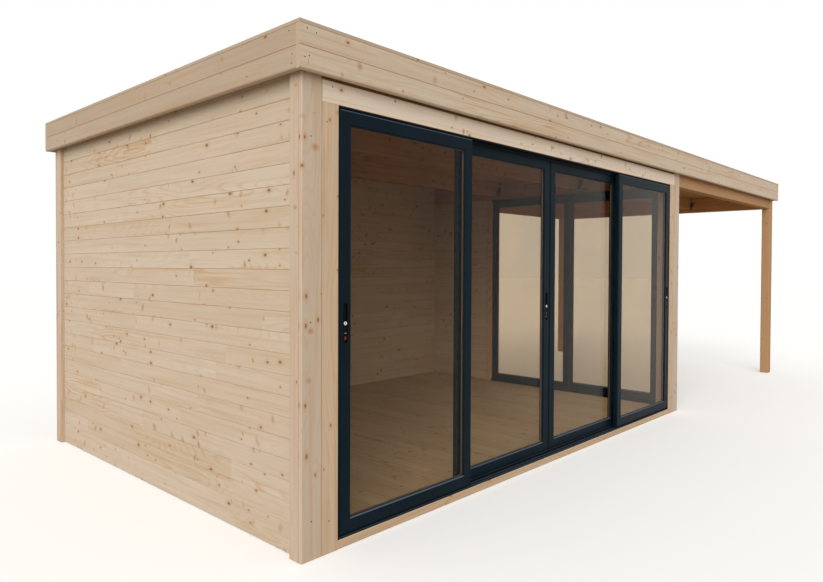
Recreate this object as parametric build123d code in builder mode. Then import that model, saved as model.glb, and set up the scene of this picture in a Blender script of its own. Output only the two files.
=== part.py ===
"""Garden house: a boarded timber room with sliding glass doors and an open canopy bay beside it."""

import os

from build123d import *

# Plan and heights, in millimetres: X runs along the front, Y goes back, Z is up.
canopy_length = 3320.0
house_depth = 3200.0
base_height = 46.0
door_height = 2169.0
head_gap = 2.0
beam_course_height = 103.0
beam_courses = 2

# Timber sections.
post_width = 124.0
post_depth = 97.0
front_jamb_width = 103.0
side_jamb_width = 78.0
corner_board_thickness = 24.0
arris = 4.0
joint_groove = 3.0
wall_thickness = 60.0
wall_recess = 30.0
joist_width = 60.0
inner_joist_count = 4
floor_thickness = 20.0
lintel_thickness = 28.0
lintel_height = 107.0
ring_beam_width = 97.0
canopy_beam_setback = 12.0
purlin_width = 60.0
purlin_height = 160.0
purlin_rows = 2

# Roof edge.
deck_thickness = 20.0
membrane_thickness = 4.0
kerb_thickness = 80.0
fascia_reach = 55.0
fascia_thickness = 28.0
fascia_drop = 93.0
fascia_lower_board = 108.0
fascia_upper_board = 100.0
fascia_edge_radius = 11.0
cap_width = 112.0
cap_thickness = 18.0
cap_bevel = 2.5

# Folded steel joist hangers: a seat, two raked sides and two ears that taper to the foot.
hanger_steel = 2.5
hanger_seat = 60.0
hanger_toe = 18.0
hanger_strap = 26.0
hanger_ear = 28.0
hanger_ear_foot = 20.0
hanger_ear_shoulder = 50.0
hanger_height = 105.0

# Sliding doors: aluminium frames with two tracks, each with a fin that keeps the leaves apart.
front_door_width = 4202.0
side_door_width = 2020.0
door_fitting_gap = 2.0
frame_setback = 3.0
frame_plate = 6.0
frame_side_plate = 8.0
side_fin_reach = 12.0
fin_thickness = 7.0
fin_height = 22.0
running_rail_width = 6.0
running_rail_height = 5.0
leaf_thickness = 42.0
leaf_clearance = 4.0
meeting_gap = 6.0
stile_width = 76.0
leaf_edge_chamfer = 8.0
glazing_chamfer = 5.0
glass_thickness = 24.0
glass_rebate = 12.0

# Pull pockets cut in the stiles, one inside and one outside.
pull_length = 202.0
pull_width = 28.0
pull_depth = 9.0
pull_centre_height = 1086.0


def middle(span):
    """Middle of a (low, high) span."""
    return (span[0] + span[1]) / 2


def length(span):
    """Length of a (low, high) span."""
    return span[1] - span[0]


def inward(span, amount):
    """A span drawn in by the same amount at both ends."""
    return (span[0] + amount, span[1] - amount)


# Places worked out from the sizes above. The origin is on the ground under the middle of the plan.
front_opening_width = front_door_width + 2 * door_fitting_gap
house_length = front_opening_width + 2 * (front_jamb_width + post_width)
x_left = -(house_length + canopy_length) / 2
x_house = x_left + house_length
x_right = x_house + canopy_length
y_front = -house_depth / 2
y_back = house_depth / 2
door_top = base_height + door_height
beam_bottom = door_top + head_gap
beam_top = beam_bottom + beam_courses * beam_course_height
deck_top = beam_top + deck_thickness
fascia_bottom = beam_top - fascia_drop
fascia_top = fascia_bottom + fascia_lower_board + fascia_upper_board
roof_x = (x_left - fascia_reach, x_right + fascia_reach)
roof_y = (y_front - fascia_reach, y_back + fascia_reach)
deck_x = (roof_x[0] + fascia_thickness, roof_x[1] - fascia_thickness)
deck_y = (roof_y[0] + fascia_thickness, roof_y[1] - fascia_thickness)
kerb_x = (deck_x[0] + kerb_thickness, deck_x[1] - kerb_thickness)
kerb_y = (deck_y[0] + kerb_thickness, deck_y[1] - kerb_thickness)
between_posts_x = (x_left + post_width, x_house - post_width)
between_posts_y = (y_front + post_depth, y_back - post_depth)
left_wall_x = (x_left + wall_recess, x_left + wall_recess + wall_thickness)
right_wall_x = (x_house - wall_recess - wall_thickness, x_house - wall_recess)
back_wall_y = (y_back - wall_recess - wall_thickness, y_back - wall_recess)
side_profile_depth = leaf_thickness + leaf_clearance + fin_thickness
frame_depth = 2 * side_profile_depth + leaf_clearance
front_opening_x = (between_posts_x[0] + front_jamb_width, between_posts_x[1] - front_jamb_width)
front_door_x = inward(front_opening_x, door_fitting_gap)
front_frame_y = (y_front + frame_setback, y_front + frame_setback + frame_depth)
side_door_start = between_posts_y[0] + side_jamb_width + door_fitting_gap
side_door_y = (side_door_start, side_door_start + side_door_width)
side_opening_y = inward(side_door_y, -door_fitting_gap)
side_frame_x = (x_house - frame_setback - frame_depth, x_house - frame_setback)
far_jamb_y = (side_opening_y[1], side_opening_y[1] + side_jamb_width)
right_beam_x = (x_house - ring_beam_width, x_house)
end_beam_x = (x_right - ring_beam_width, x_right)
canopy_beam_x = (x_house, x_right - post_width)
beam_z = (beam_bottom, beam_top)
purlin_pitch = house_depth / (purlin_rows + 1)
purlin_places = [y_front + purlin_pitch * (row + 1) for row in range(purlin_rows)]
inner_track = leaf_thickness + fin_thickness + 2 * leaf_clearance
leaf_bottom = frame_plate + running_rail_height + leaf_clearance
leaf_height = door_height - frame_plate - leaf_clearance - leaf_bottom


def timbers(boxes, along=None):
    """Straight timbers, one solid for each (x, y, z) box of spans, their long edges eased if given."""
    with BuildPart() as piece:
        for span_x, span_y, span_z in boxes:
            with BuildSketch(Plane.XY.offset(span_z[0])):
                with Locations((middle(span_x), middle(span_y))):
                    Rectangle(length(span_x), length(span_y))
            extrude(amount=length(span_z))
        if along:
            chamfer(piece.edges().filter_by(along), arris)
    return piece


def write(piece, name):
    """Label a finished piece and save it under its own name."""
    piece.part.label = name
    export_step(piece.part, f"parts/{name}.step")


def ring_beams(runs):
    """Ring beams of timbers laid on edge, one on the other: eased corners and a groove at each joint.

    Each run is (middle of the near end at its foot, direction, width, length).
    """
    with BuildPart() as beams:
        for near_end, direction, width, run_length in runs:
            across = Vector(0, 0, 1).cross(Vector(direction))
            with BuildSketch(Plane(origin=near_end, x_dir=across, z_dir=direction)):
                Rectangle(width, length(beam_z), align=(Align.CENTER, Align.MIN))
                chamfer(vertices(), arris)
                for course in range(1, beam_courses):
                    joint_height = course * beam_course_height
                    with Locations((-width / 2, joint_height), (width / 2, joint_height)):
                        Rectangle(joint_groove, joint_groove, rotation=45, mode=Mode.SUBTRACT)
            extrude(amount=run_length)
    return beams


def corner_posts(corners):
    """Full-height posts. A front board laps the side board, so a groove runs up each outer side."""
    with BuildPart() as posts:
        for corner_x, corner_y, into_x, into_y in corners:
            with BuildSketch():
                with Locations((corner_x + into_x * post_width / 2, corner_y + into_y * post_depth / 2)):
                    Rectangle(post_width, post_depth)
            extrude(amount=beam_top)
        chamfer(posts.edges().filter_by(Axis.Z), arris)
        for corner_x, corner_y, into_x, into_y in corners:
            with BuildSketch():
                with Locations((corner_x, corner_y + into_y * corner_board_thickness)):
                    Rectangle(joint_groove, joint_groove, rotation=45)
            extrude(amount=beam_top, mode=Mode.SUBTRACT)
    return posts


os.makedirs("parts", exist_ok=True)

# Base: bearers under the walls and doors, and lower joists that carry the floor between them.
base_z = (0, base_height)
joist_z = (0, base_height - floor_thickness)
front_bearer_y = (y_front, front_frame_y[1] + door_fitting_gap)
back_bearer_y = (between_posts_y[1], back_wall_y[1])
side_bearer_x = (side_frame_x[0] - door_fitting_gap, x_house)
base_long_beams = timbers(
    [(front_opening_x, front_bearer_y, base_z), (between_posts_x, back_bearer_y, base_z)], Axis.X
)
write(base_long_beams, "base_long_beams")

joist_pitch = length(between_posts_x) / (inner_joist_count + 1)
joist_places = [between_posts_x[0] + joist_pitch * (index + 1) for index in range(inner_joist_count)]
joist_y = (front_bearer_y[1], back_bearer_y[0])
base_cross_beams = timbers(
    [
        (left_wall_x, between_posts_y, base_z),
        (side_bearer_x, side_opening_y, base_z),
        (right_beam_x, (far_jamb_y[1], between_posts_y[1]), base_z),
    ]
    + [((place - joist_width / 2, place + joist_width / 2), joist_y, joist_z) for place in joist_places],
    Axis.Y,
)
write(base_cross_beams, "base_cross_beams")

# Floor, level with the bearers and notched round the bearer under each door.
floor_x = (left_wall_x[1], right_beam_x[0])
floor_y = between_posts_y
with BuildPart() as floor_deck:
    with BuildSketch(Plane.XY.offset(joist_z[1])):
        with Locations((middle(floor_x), middle(floor_y))):
            Rectangle(length(floor_x), length(floor_y))
        for notch_x, notch_y in (
            (front_opening_x, (floor_y[0], front_bearer_y[1])),
            ((side_bearer_x[0], floor_x[1]), side_opening_y),
        ):
            with Locations((middle(notch_x), middle(notch_y))):
                Rectangle(length(notch_x), length(notch_y), mode=Mode.SUBTRACT)
    extrude(amount=floor_thickness)
write(floor_deck, "floor_deck")

# Posts, from the ground to the roof deck.
write(corner_posts([(x_left, y_front, 1, 1)]), "front_left_post")
write(corner_posts([(x_house, y_front, -1, 1)]), "front_right_post")
write(corner_posts([(x_left, y_back, 1, -1)]), "back_left_post")
write(corner_posts([(x_house, y_back, -1, -1)]), "back_right_post")
write(corner_posts([(x_right, y_front, -1, 1), (x_right, y_back, -1, -1)]), "canopy_posts")

# Jambs beside the doors. A step behind each side profile closes the inner track.
jamb_z = (0, beam_bottom)
step_z = (base_height, beam_bottom)
step_width = door_fitting_gap + frame_side_plate
front_jamb_y = (y_front, between_posts_y[0])
front_step_y = (front_frame_y[0] + side_profile_depth, between_posts_y[0])
front_jambs = timbers(
    [
        ((between_posts_x[0], front_opening_x[0]), front_jamb_y, jamb_z),
        ((front_opening_x[0], front_opening_x[0] + step_width), front_step_y, step_z),
        ((front_opening_x[1], between_posts_x[1]), front_jamb_y, jamb_z),
        ((front_opening_x[1] - step_width, front_opening_x[1]), front_step_y, step_z),
    ]
)
write(front_jambs, "front_jambs")
side_step_x = (right_beam_x[0], side_frame_x[1] - side_profile_depth)
side_jambs = timbers(
    [
        (right_beam_x, (between_posts_y[0], side_opening_y[0]), jamb_z),
        (side_step_x, (side_opening_y[0], side_opening_y[0] + step_width), step_z),
        (right_beam_x, far_jamb_y, jamb_z),
        (side_step_x, (side_opening_y[1] - step_width, side_opening_y[1]), step_z),
    ]
)
write(side_jambs, "side_jambs")

# Lintel board and ring beams of the room.
lintel_y = (y_front, y_front + lintel_thickness)
lintel_z = (beam_bottom, beam_bottom + lintel_height)
write(timbers([(between_posts_x, lintel_y, lintel_z)]), "front_lintel")
front_beam_y = (lintel_y[1], between_posts_y[0])
front_beam_end = (between_posts_x[0], middle(front_beam_y), beam_bottom)
front_beam = ring_beams([(front_beam_end, (1, 0, 0), length(front_beam_y), length(between_posts_x))])
write(front_beam, "front_beam")
right_beam_end = (middle(right_beam_x), between_posts_y[0], beam_bottom)
right_beam = ring_beams([(right_beam_end, (0, 1, 0), ring_beam_width, length(between_posts_y))])
write(right_beam, "right_beam")

# Boarded walls.
wall_z = (base_height, beam_top)
write(timbers([(left_wall_x, between_posts_y, wall_z)]), "left_wall")
write(timbers([(between_posts_x, back_wall_y, wall_z)]), "back_wall")
right_wall_y = (far_jamb_y[1], between_posts_y[1])
write(timbers([(right_wall_x, right_wall_y, (base_height, beam_bottom))]), "right_wall")

# Ring beams of the open bay.
canopy_beam_edge = canopy_beam_setback + ring_beam_width / 2
canopy_beam_run = ((1, 0, 0), ring_beam_width, length(canopy_beam_x))
canopy_long_beams = ring_beams(
    [
        ((canopy_beam_x[0], y_front + canopy_beam_edge, beam_bottom), *canopy_beam_run),
        ((canopy_beam_x[0], y_back - canopy_beam_edge, beam_bottom), *canopy_beam_run),
    ]
)
write(canopy_long_beams, "canopy_long_beams")
end_beam_end = (middle(end_beam_x), between_posts_y[0], beam_bottom)
canopy_end_beam = ring_beams([(end_beam_end, (0, 1, 0), ring_beam_width, length(between_posts_y))])
write(canopy_end_beam, "canopy_end_beam")

# Purlins under the roof deck, in line through both bays.
purlin_z = (beam_top - purlin_height, beam_top)
house_purlin_x = (left_wall_x[1], right_beam_x[0])
canopy_purlin_x = (right_beam_x[1], end_beam_x[0])
for name, span_x in (("house_purlins", house_purlin_x), ("canopy_purlins", canopy_purlin_x)):
    purlins = timbers(
        [(span_x, (place - purlin_width / 2, place + purlin_width / 2), purlin_z) for place in purlin_places]
    )
    write(purlins, name)

# Joist hangers: a shoe under each purlin end, with an ear each side against the beam.
shoe_half = purlin_width / 2 + hanger_steel
hanger_bottom = purlin_z[0] - hanger_steel
rake = [
    (0, 0),
    (hanger_seat, 0),
    (hanger_seat, hanger_toe),
    (hanger_strap, hanger_height),
    (0, hanger_height),
]
taper = [
    (shoe_half, hanger_ear_foot),
    (shoe_half + hanger_ear, hanger_ear_shoulder),
    (shoe_half + hanger_ear, hanger_height),
    (shoe_half, hanger_height),
]
with BuildPart() as joist_hangers:
    for beam_face, direction in (
        (house_purlin_x[0], 1),
        (house_purlin_x[1], -1),
        (canopy_purlin_x[0], 1),
        (canopy_purlin_x[1], -1),
    ):
        for place in purlin_places:
            foot = (beam_face, place, hanger_bottom)
            with BuildSketch(Plane(origin=foot, x_dir=(0, 1, 0), z_dir=(1, 0, 0))):
                Rectangle(2 * shoe_half, hanger_steel, align=(Align.CENTER, Align.MIN))
            extrude(amount=direction * hanger_seat)
            with BuildSketch(Plane(origin=foot, x_dir=(0, 1, 0), z_dir=(1, 0, 0))):
                Polygon(*taper, align=None)
                mirror(about=Plane.YZ)
            extrude(amount=direction * hanger_steel)
            with BuildSketch(Plane(origin=foot, x_dir=(direction, 0, 0), z_dir=(0, -direction, 0))):
                Polygon(*rake, align=None)
            extrude(amount=shoe_half, both=True)
            with BuildSketch(Plane(origin=foot, x_dir=(0, 1, 0), z_dir=(1, 0, 0))):
                with Locations((0, hanger_steel)):
                    Rectangle(purlin_width, hanger_height, align=(Align.CENTER, Align.MIN))
            extrude(amount=direction * hanger_seat, mode=Mode.SUBTRACT)
write(joist_hangers, "joist_hangers")

# Flat roof: deck, sheet covering and the kerbs that carry the fascia and its caps.
write(timbers([(deck_x, deck_y, (beam_top, deck_top))]), "roof_deck")
write(timbers([(kerb_x, kerb_y, (deck_top, deck_top + membrane_thickness))]), "roof_membrane")
kerb_z = (deck_top, fascia_top)
parapet_long_kerbs = timbers(
    [(deck_x, (deck_y[0], kerb_y[0]), kerb_z), (deck_x, (kerb_y[1], deck_y[1]), kerb_z)]
)
write(parapet_long_kerbs, "parapet_long_kerbs")
parapet_end_kerbs = timbers(
    [((deck_x[0], kerb_x[0]), kerb_y, kerb_z), ((kerb_x[1], deck_x[1]), kerb_y, kerb_z)]
)
write(parapet_end_kerbs, "parapet_end_kerbs")


def run_plane(x, y, out):
    """Plane across the near end of a fascia run: its X points out, its Y up, and the run goes along Z."""
    return Plane(origin=(x, y, fascia_bottom), x_dir=out, z_dir=Vector(out).cross(Vector(0, 0, 1)))


def fascias(runs):
    """Two tongued boards, one above the other: a groove at their joint, a round foot and a bevelled top."""
    with BuildPart() as boards:
        for near_end, run_length in runs:
            with BuildSketch(near_end):
                Rectangle(fascia_thickness, fascia_top - fascia_bottom, align=(Align.MAX, Align.MIN))
                fillet(vertices().group_by(Axis.Y)[0].sort_by(Axis.X)[-1], fascia_edge_radius)
                chamfer(vertices().group_by(Axis.Y)[-1].sort_by(Axis.X)[-1], cap_bevel)
                with Locations((0, fascia_lower_board)):
                    Rectangle(joint_groove, joint_groove, rotation=45, mode=Mode.SUBTRACT)
            extrude(amount=run_length)
    return boards


# Fascia: the long boards run past the ends of the short ones.
long_fascias = fascias(
    [
        (run_plane(roof_x[1], roof_y[0], (0, -1, 0)), length(roof_x)),
        (run_plane(roof_x[0], roof_y[1], (0, 1, 0)), length(roof_x)),
    ]
)
write(long_fascias, "long_fascias")
end_fascias = fascias(
    [
        (run_plane(roof_x[0], deck_y[0], (-1, 0, 0)), length(deck_y)),
        (run_plane(roof_x[1], deck_y[1], (1, 0, 0)), length(deck_y)),
    ]
)
write(end_fascias, "end_fascias")

# Caps on the fascia and its kerbs: the end ones fit between the long ones, all bevelled under the rim.
cap_inner_x = inward(roof_x, cap_width)
cap_inner_y = inward(roof_y, cap_width)
with BuildPart() as long_caps:
    with BuildSketch(Plane.XY.offset(fascia_top)):
        with GridLocations(0, length(roof_y) - cap_width, 1, 2):
            Rectangle(length(roof_x), cap_width)
    extrude(amount=cap_thickness)
    foot_edges = long_caps.edges().group_by(Axis.Z)[0]
    front_to_back = foot_edges.filter_by(Axis.X).sort_by(Axis.Y)
    chamfer([front_to_back[0], front_to_back[-1], *foot_edges.filter_by(Axis.Y)], cap_bevel)
write(long_caps, "long_caps")
with BuildPart() as end_caps:
    with BuildSketch(Plane.XY.offset(fascia_top)):
        with GridLocations(length(roof_x) - cap_width, 0, 2, 1):
            Rectangle(cap_width, length(cap_inner_y))
    extrude(amount=cap_thickness)
    left_to_right = end_caps.edges().group_by(Axis.Z)[0].filter_by(Axis.Y).sort_by(Axis.X)
    chamfer([left_to_right[0], left_to_right[-1]], cap_bevel)
write(end_caps, "end_caps")


def across_plane(door, along):
    """Plane across a door's width at one place: its X points indoors and its Y up."""
    return Plane(origin=door.from_local_coords((along, 0, 0)), x_dir=door.y_dir, z_dir=door.x_dir)


def face_plane(door, depth):
    """Upright plane at one depth in a door: its X runs along the door, and it faces outdoors."""
    return Plane(origin=door.from_local_coords((0, depth, 0)), x_dir=door.x_dir, z_dir=-door.y_dir)


def door_tracks(door, width):
    """Sill and head between the side profiles: a plate, a middle fin, a back fin and, below, two rails."""
    run_length = width - 2 * frame_side_plate
    low_corner = (Align.MIN, Align.MIN)
    with BuildPart() as tracks:
        with BuildSketch(across_plane(door, frame_side_plate)):
            for plate_level, fin_level in ((0, 0), (door_height - frame_plate, door_height - fin_height)):
                with Locations((0, plate_level)):
                    Rectangle(frame_depth, frame_plate, align=low_corner)
                for fin_place in (leaf_thickness + leaf_clearance, frame_depth - fin_thickness):
                    with Locations((fin_place, fin_level)):
                        Rectangle(fin_thickness, fin_height, align=low_corner)
            for track in (0, inner_track):
                with Locations((track + leaf_thickness / 2, frame_plate)):
                    Rectangle(running_rail_width, running_rail_height, align=(Align.CENTER, Align.MIN))
        extrude(amount=run_length)
    return tracks


def door_sides(door, width):
    """Side profiles of the outer track: a plate and, between sill and head, a fin behind the leaf."""
    with BuildPart() as sides:
        for plate_middle, fin_middle in (
            (frame_side_plate / 2, frame_side_plate + side_fin_reach / 2),
            (width - frame_side_plate / 2, width - frame_side_plate - side_fin_reach / 2),
        ):
            with BuildSketch(door):
                with Locations((plate_middle, side_profile_depth / 2)):
                    Rectangle(frame_side_plate, side_profile_depth)
            extrude(amount=door_height)
            with BuildSketch(door.offset(fin_height)):
                with Locations((fin_middle, side_profile_depth - fin_thickness / 2)):
                    Rectangle(side_fin_reach, fin_thickness)
            extrude(amount=door_height - 2 * fin_height)
    return sides


def pane_size(leaf_width):
    """Width and height of a leaf's pane, with its edges held in the frame."""
    return (leaf_width - 2 * stile_width + 2 * glass_rebate, leaf_height - 2 * stile_width + 2 * glass_rebate)


def door_leaf(door, near_edge, leaf_width, track, pull_edge):
    """Leaf frame: four equal members round the glass, bevelled to it, with pull pockets in one stile.

    pull_edge is 1 for a pull in the stile further along the door, -1 for the nearer one, 0 for none.
    """
    centre = (near_edge + leaf_width / 2, leaf_bottom + leaf_height / 2)
    inwards = Axis(door.origin, door.y_dir)
    with BuildPart() as leaf:
        with BuildSketch(face_plane(door, track)):
            with Locations(centre):
                Rectangle(leaf_width, leaf_height)
                Rectangle(leaf_width - 2 * stile_width, leaf_height - 2 * stile_width, mode=Mode.SUBTRACT)
        extrude(amount=-leaf_thickness)
        outer_face = leaf.faces().sort_by(inwards)[0]
        inner_face = leaf.faces().sort_by(inwards)[-1]
        outer_edges = outer_face.outer_wire().edges() + inner_face.outer_wire().edges()
        glazing_edges = outer_face.inner_wires()[0].edges() + inner_face.inner_wires()[0].edges()
        chamfer(outer_edges, leaf_edge_chamfer)
        chamfer(glazing_edges, glazing_chamfer)
        with BuildSketch(face_plane(door, track + (leaf_thickness - glass_thickness) / 2)):
            with Locations(centre):
                Rectangle(*pane_size(leaf_width))
        extrude(amount=-glass_thickness, mode=Mode.SUBTRACT)
        if pull_edge:
            pull_place = (centre[0] + pull_edge * (leaf_width - stile_width) / 2, pull_centre_height)
            for depth in (track, track + leaf_thickness - pull_depth):
                with BuildSketch(face_plane(door, depth)):
                    with Locations(pull_place):
                        SlotOverall(pull_length, pull_width, rotation=90)
                extrude(amount=-pull_depth, mode=Mode.SUBTRACT)
    return leaf


def door_pane(door, near_edge, leaf_width, track):
    """Sealed double-glazed pane of one leaf."""
    with BuildPart() as pane:
        with BuildSketch(face_plane(door, track + (leaf_thickness - glass_thickness) / 2)):
            with Locations((near_edge + leaf_width / 2, leaf_bottom + leaf_height / 2)):
                Rectangle(*pane_size(leaf_width))
        extrude(amount=-glass_thickness)
    return pane


def sliding_door(prefix, door, width, leaves):
    """Write one sliding door. Each leaf is (near edge, track depth, which stile has the pull)."""
    write(door_tracks(door, width), f"{prefix}_door_tracks")
    write(door_sides(door, width), f"{prefix}_door_sides")
    for number, (near_edge, leaf_width, track, pull_edge) in enumerate(leaves, start=1):
        write(door_leaf(door, near_edge, leaf_width, track, pull_edge), f"{prefix}_leaf_{number}")
        write(door_pane(door, near_edge, leaf_width, track), f"{prefix}_glass_{number}")


# Front door: the outer pair of leaves on the outer track, each lapping an inner leaf by one stile.
reveal = frame_side_plate + leaf_clearance
front_run = front_door_width - 2 * reveal
front_leaf_width = (front_run + 2 * stile_width - meeting_gap) / 4
front_door = Plane(origin=(front_door_x[0], front_frame_y[0], base_height), x_dir=(1, 0, 0), z_dir=(0, 0, 1))
lap = front_leaf_width - stile_width
front_last_edge = front_door_width - reveal - front_leaf_width
sliding_door(
    "front",
    front_door,
    front_door_width,
    [
        (reveal, front_leaf_width, 0, -1),
        (reveal + lap, front_leaf_width, inner_track, 1),
        (front_last_edge - lap, front_leaf_width, inner_track, 0),
        (front_last_edge, front_leaf_width, 0, 1),
    ],
)

# Side door: two leaves that lap by one stile, looking in from the open bay.
side_leaf_width = (side_door_width - 2 * reveal + stile_width) / 2
side_door = Plane(origin=(side_frame_x[1], side_door_y[0], base_height), x_dir=(0, 1, 0), z_dir=(0, 0, 1))
sliding_door(
    "side",
    side_door,
    side_door_width,
    [
        (reveal, side_leaf_width, 0, -1),
        (side_door_width - reveal - side_leaf_width, side_leaf_width, inner_track, 1),
    ],
)
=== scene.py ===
"""Looks of a timber garden house: boarded walls, sliding glass doors and an open canopy bay.

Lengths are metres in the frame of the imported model: X runs along the front, Y to the back, Z up.
"""

import logging
import math
from collections.abc import Callable, Iterable, Sequence
from dataclasses import dataclass
from enum import Enum
from itertools import product

import bpy
import numpy as np
from mathutils import Matrix, Vector


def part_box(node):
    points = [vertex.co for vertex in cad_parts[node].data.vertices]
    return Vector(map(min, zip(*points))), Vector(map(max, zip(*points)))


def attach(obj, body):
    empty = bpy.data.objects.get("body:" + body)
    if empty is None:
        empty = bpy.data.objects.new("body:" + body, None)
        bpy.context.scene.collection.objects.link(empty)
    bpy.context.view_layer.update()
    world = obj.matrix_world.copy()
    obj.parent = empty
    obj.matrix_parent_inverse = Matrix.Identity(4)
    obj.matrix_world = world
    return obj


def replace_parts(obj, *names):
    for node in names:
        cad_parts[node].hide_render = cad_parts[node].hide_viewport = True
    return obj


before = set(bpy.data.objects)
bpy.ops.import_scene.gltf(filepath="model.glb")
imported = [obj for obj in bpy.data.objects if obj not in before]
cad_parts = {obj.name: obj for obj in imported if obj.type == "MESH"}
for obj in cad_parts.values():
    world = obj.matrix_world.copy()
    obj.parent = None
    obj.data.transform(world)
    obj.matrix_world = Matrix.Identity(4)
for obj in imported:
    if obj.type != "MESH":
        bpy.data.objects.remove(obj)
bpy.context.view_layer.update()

log = logging.getLogger("garden_house")

Colour = tuple[float, float, float]
Point = tuple[float, float, float]
Shade = tuple[int, int, int]
Span = tuple[float, float]
Profile = tuple[Span, ...]
Socket = bpy.types.NodeSocket
Material = bpy.types.Material

ROOT = "house"
WHITE = (1.0, 1.0, 1.0)


class Axis(Enum):
    """A direction of the frame, by its column in a point."""

    X = 0
    Y = 1
    Z = 2


Axes = tuple[Axis, Axis, Axis]


def paint(shade: Shade) -> Colour:
    """Turn a colour as a screen shows it into a linear one.

    Args:
        shade: Red, green and blue from 0 to 255.

    Returns:
        The linear colour that a shader takes.
    """
    shown = np.array(shade) / 255
    linear = np.where(shown <= 0.04045, shown / 12.92, ((shown + 0.055) / 1.055) ** 2.4)
    return tuple(float(value) for value in linear)


class Value:
    """An output of a shader node. Arithmetic with it adds nodes to its sheet."""

    def __init__(self, sheet: "NodeSheet", socket: Socket) -> None:
        """Hold the output and its sheet."""
        self.sheet = sheet
        self.socket = socket

    def math(self, operation: str, other: object = 0.0) -> "Value":
        """What a Math node makes of this value and another."""
        return self.sheet.out("ShaderNodeMath", {0: self, 1: other}, operation=operation)

    def __add__(self, other: object) -> "Value":
        """The sum of this value and another."""
        return self.math("ADD", other)

    def __sub__(self, other: object) -> "Value":
        """This value less another."""
        return self.math("SUBTRACT", other)

    def __rsub__(self, other: float) -> "Value":
        """A number less this value."""
        return self.sheet.out("ShaderNodeMath", {0: other, 1: self}, operation="SUBTRACT")

    def __mul__(self, other: object) -> "Value":
        """The product of this value and another."""
        return self.math("MULTIPLY", other)

    def __truediv__(self, other: object) -> "Value":
        """This value divided by another."""
        return self.math("DIVIDE", other)

    def fraction(self) -> "Value":
        """What this value has past its whole number."""
        return self.math("FRACT")

    def share(self) -> "Value":
        """This value held between 0 and 1."""
        return self.sheet.out("ShaderNodeClamp", {"Value": self})

    def smooth(self, low: float, high: float) -> "Value":
        """A smooth ramp from 0 where this value is low to 1 where it is high."""
        inputs = {"Value": self, "From Min": low, "From Max": high}
        return self.sheet.out("ShaderNodeMapRange", inputs, interpolation_type="SMOOTHSTEP")


class NodeSheet:
    """Places and links the nodes of one shader tree."""

    def __init__(self, tree: bpy.types.NodeTree) -> None:
        """Start on a tree, emptied."""
        self.tree = tree
        self.tree.nodes.clear()

    def feed(self, socket: Socket, value: object) -> None:
        """Give a socket its value.

        Args:
            socket: The input to set.
            value: A node's output to link, or a plain number, vector or colour.
        """
        if isinstance(value, Value):
            value = value.socket
        if isinstance(value, bpy.types.NodeSocket):
            self.tree.links.new(value, socket)
        elif socket.type == "RGBA" and len(value) == 3:
            socket.default_value = (*value, 1.0)
        else:
            socket.default_value = value

    def place(self, kind: str, inputs: dict | None = None, **settings: object) -> bpy.types.Node:
        """Add a node.

        Args:
            kind: The node's type.
            inputs: Values for its inputs, by name or number.
            **settings: The node's own properties.

        Returns:
            The new node.
        """
        node = self.tree.nodes.new(kind)
        for name, value in settings.items():
            setattr(node, name, value)
        for key, value in (inputs or {}).items():
            self.feed(node.inputs[key], value)
        return node

    def out(self, kind: str, inputs: dict | None = None, output: int | str = 0, **settings: object) -> Value:
        """Add a node and take one of its outputs."""
        return Value(self, self.place(kind, inputs, **settings).outputs[output])

    def vector(self, operation: str, first: object, second: object) -> Value:
        """What a Vector Math node makes of two vectors."""
        return self.out("ShaderNodeVectorMath", {0: first, 1: second}, operation=operation)

    def mix(self, factor: object, first: object, second: object) -> Value:
        """A blend of two colours by a factor."""
        return self.out("ShaderNodeMix", {0: factor, 6: first, 7: second}, 2, data_type="RGBA")

    def bump(self, height: Value, strength: float, distance: float) -> Value:
        """A normal raised by a height, to a depth in metres."""
        return self.out("ShaderNodeBump", {"Height": height, "Strength": strength, "Distance": distance})

    def parts(self, kind: str, whole: object) -> list[Value]:
        """The three values of a vector (kind XYZ) or a colour (kind Color)."""
        node = self.place(f"ShaderNodeSeparate{kind}", {0: whole})
        return [Value(self, output) for output in node.outputs]

    def join(self, *values: object) -> Value:
        """A vector of three values."""
        return self.out("ShaderNodeCombineXYZ", dict(enumerate(values)))

    def cells(self, along: Value, across: Value, limit: Value) -> tuple[Value, list[Value], Value]:
        """Cut a plane into cells and pick some of them by chance.

        Args:
            along, across: The place, in cells.
            limit: The share of the cells that are picked.

        Returns:
            1 in a picked cell, three random numbers for each cell, and the distance from its middle.
        """
        flat = self.join(along, across, 0.0)
        cells = self.place("ShaderNodeTexVoronoi", {"Vector": flat, "Scale": 1.0}, voronoi_dimensions="2D")
        luck = self.parts("Color", cells.outputs["Color"])
        return luck[0].math("LESS_THAN", limit), luck, Value(self, cells.outputs["Distance"])

    def noise(self, place: object, scale: object = 1.0, detail: float = 2.0, rough: float = 0.5) -> Value:
        """Add a Noise texture.

        Args:
            place: The vector that it reads.
            scale: One scale, or one for each axis.
            detail: How many finer layers it has.
            rough: How strong those are.

        Returns:
            Its value from 0 to 1.
        """
        if isinstance(scale, tuple):
            place, scale = self.vector("MULTIPLY", place, scale), 1.0
        inputs = {"Vector": place, "Scale": scale, "Detail": detail, "Roughness": rough}
        return self.out("ShaderNodeTexNoise", inputs, "Fac")

    def seen(self) -> Value:
        """Tell what is looked at from what only sends light.

        Returns:
            A factor of 1 for what the eye, a mirror or glass shows.
        """
        path = self.place("ShaderNodeLightPath").outputs
        direct = Value(self, path["Is Camera Ray"]).math("MAXIMUM", path["Is Glossy Ray"])
        return direct.math("MAXIMUM", path["Is Transmission Ray"])


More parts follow.
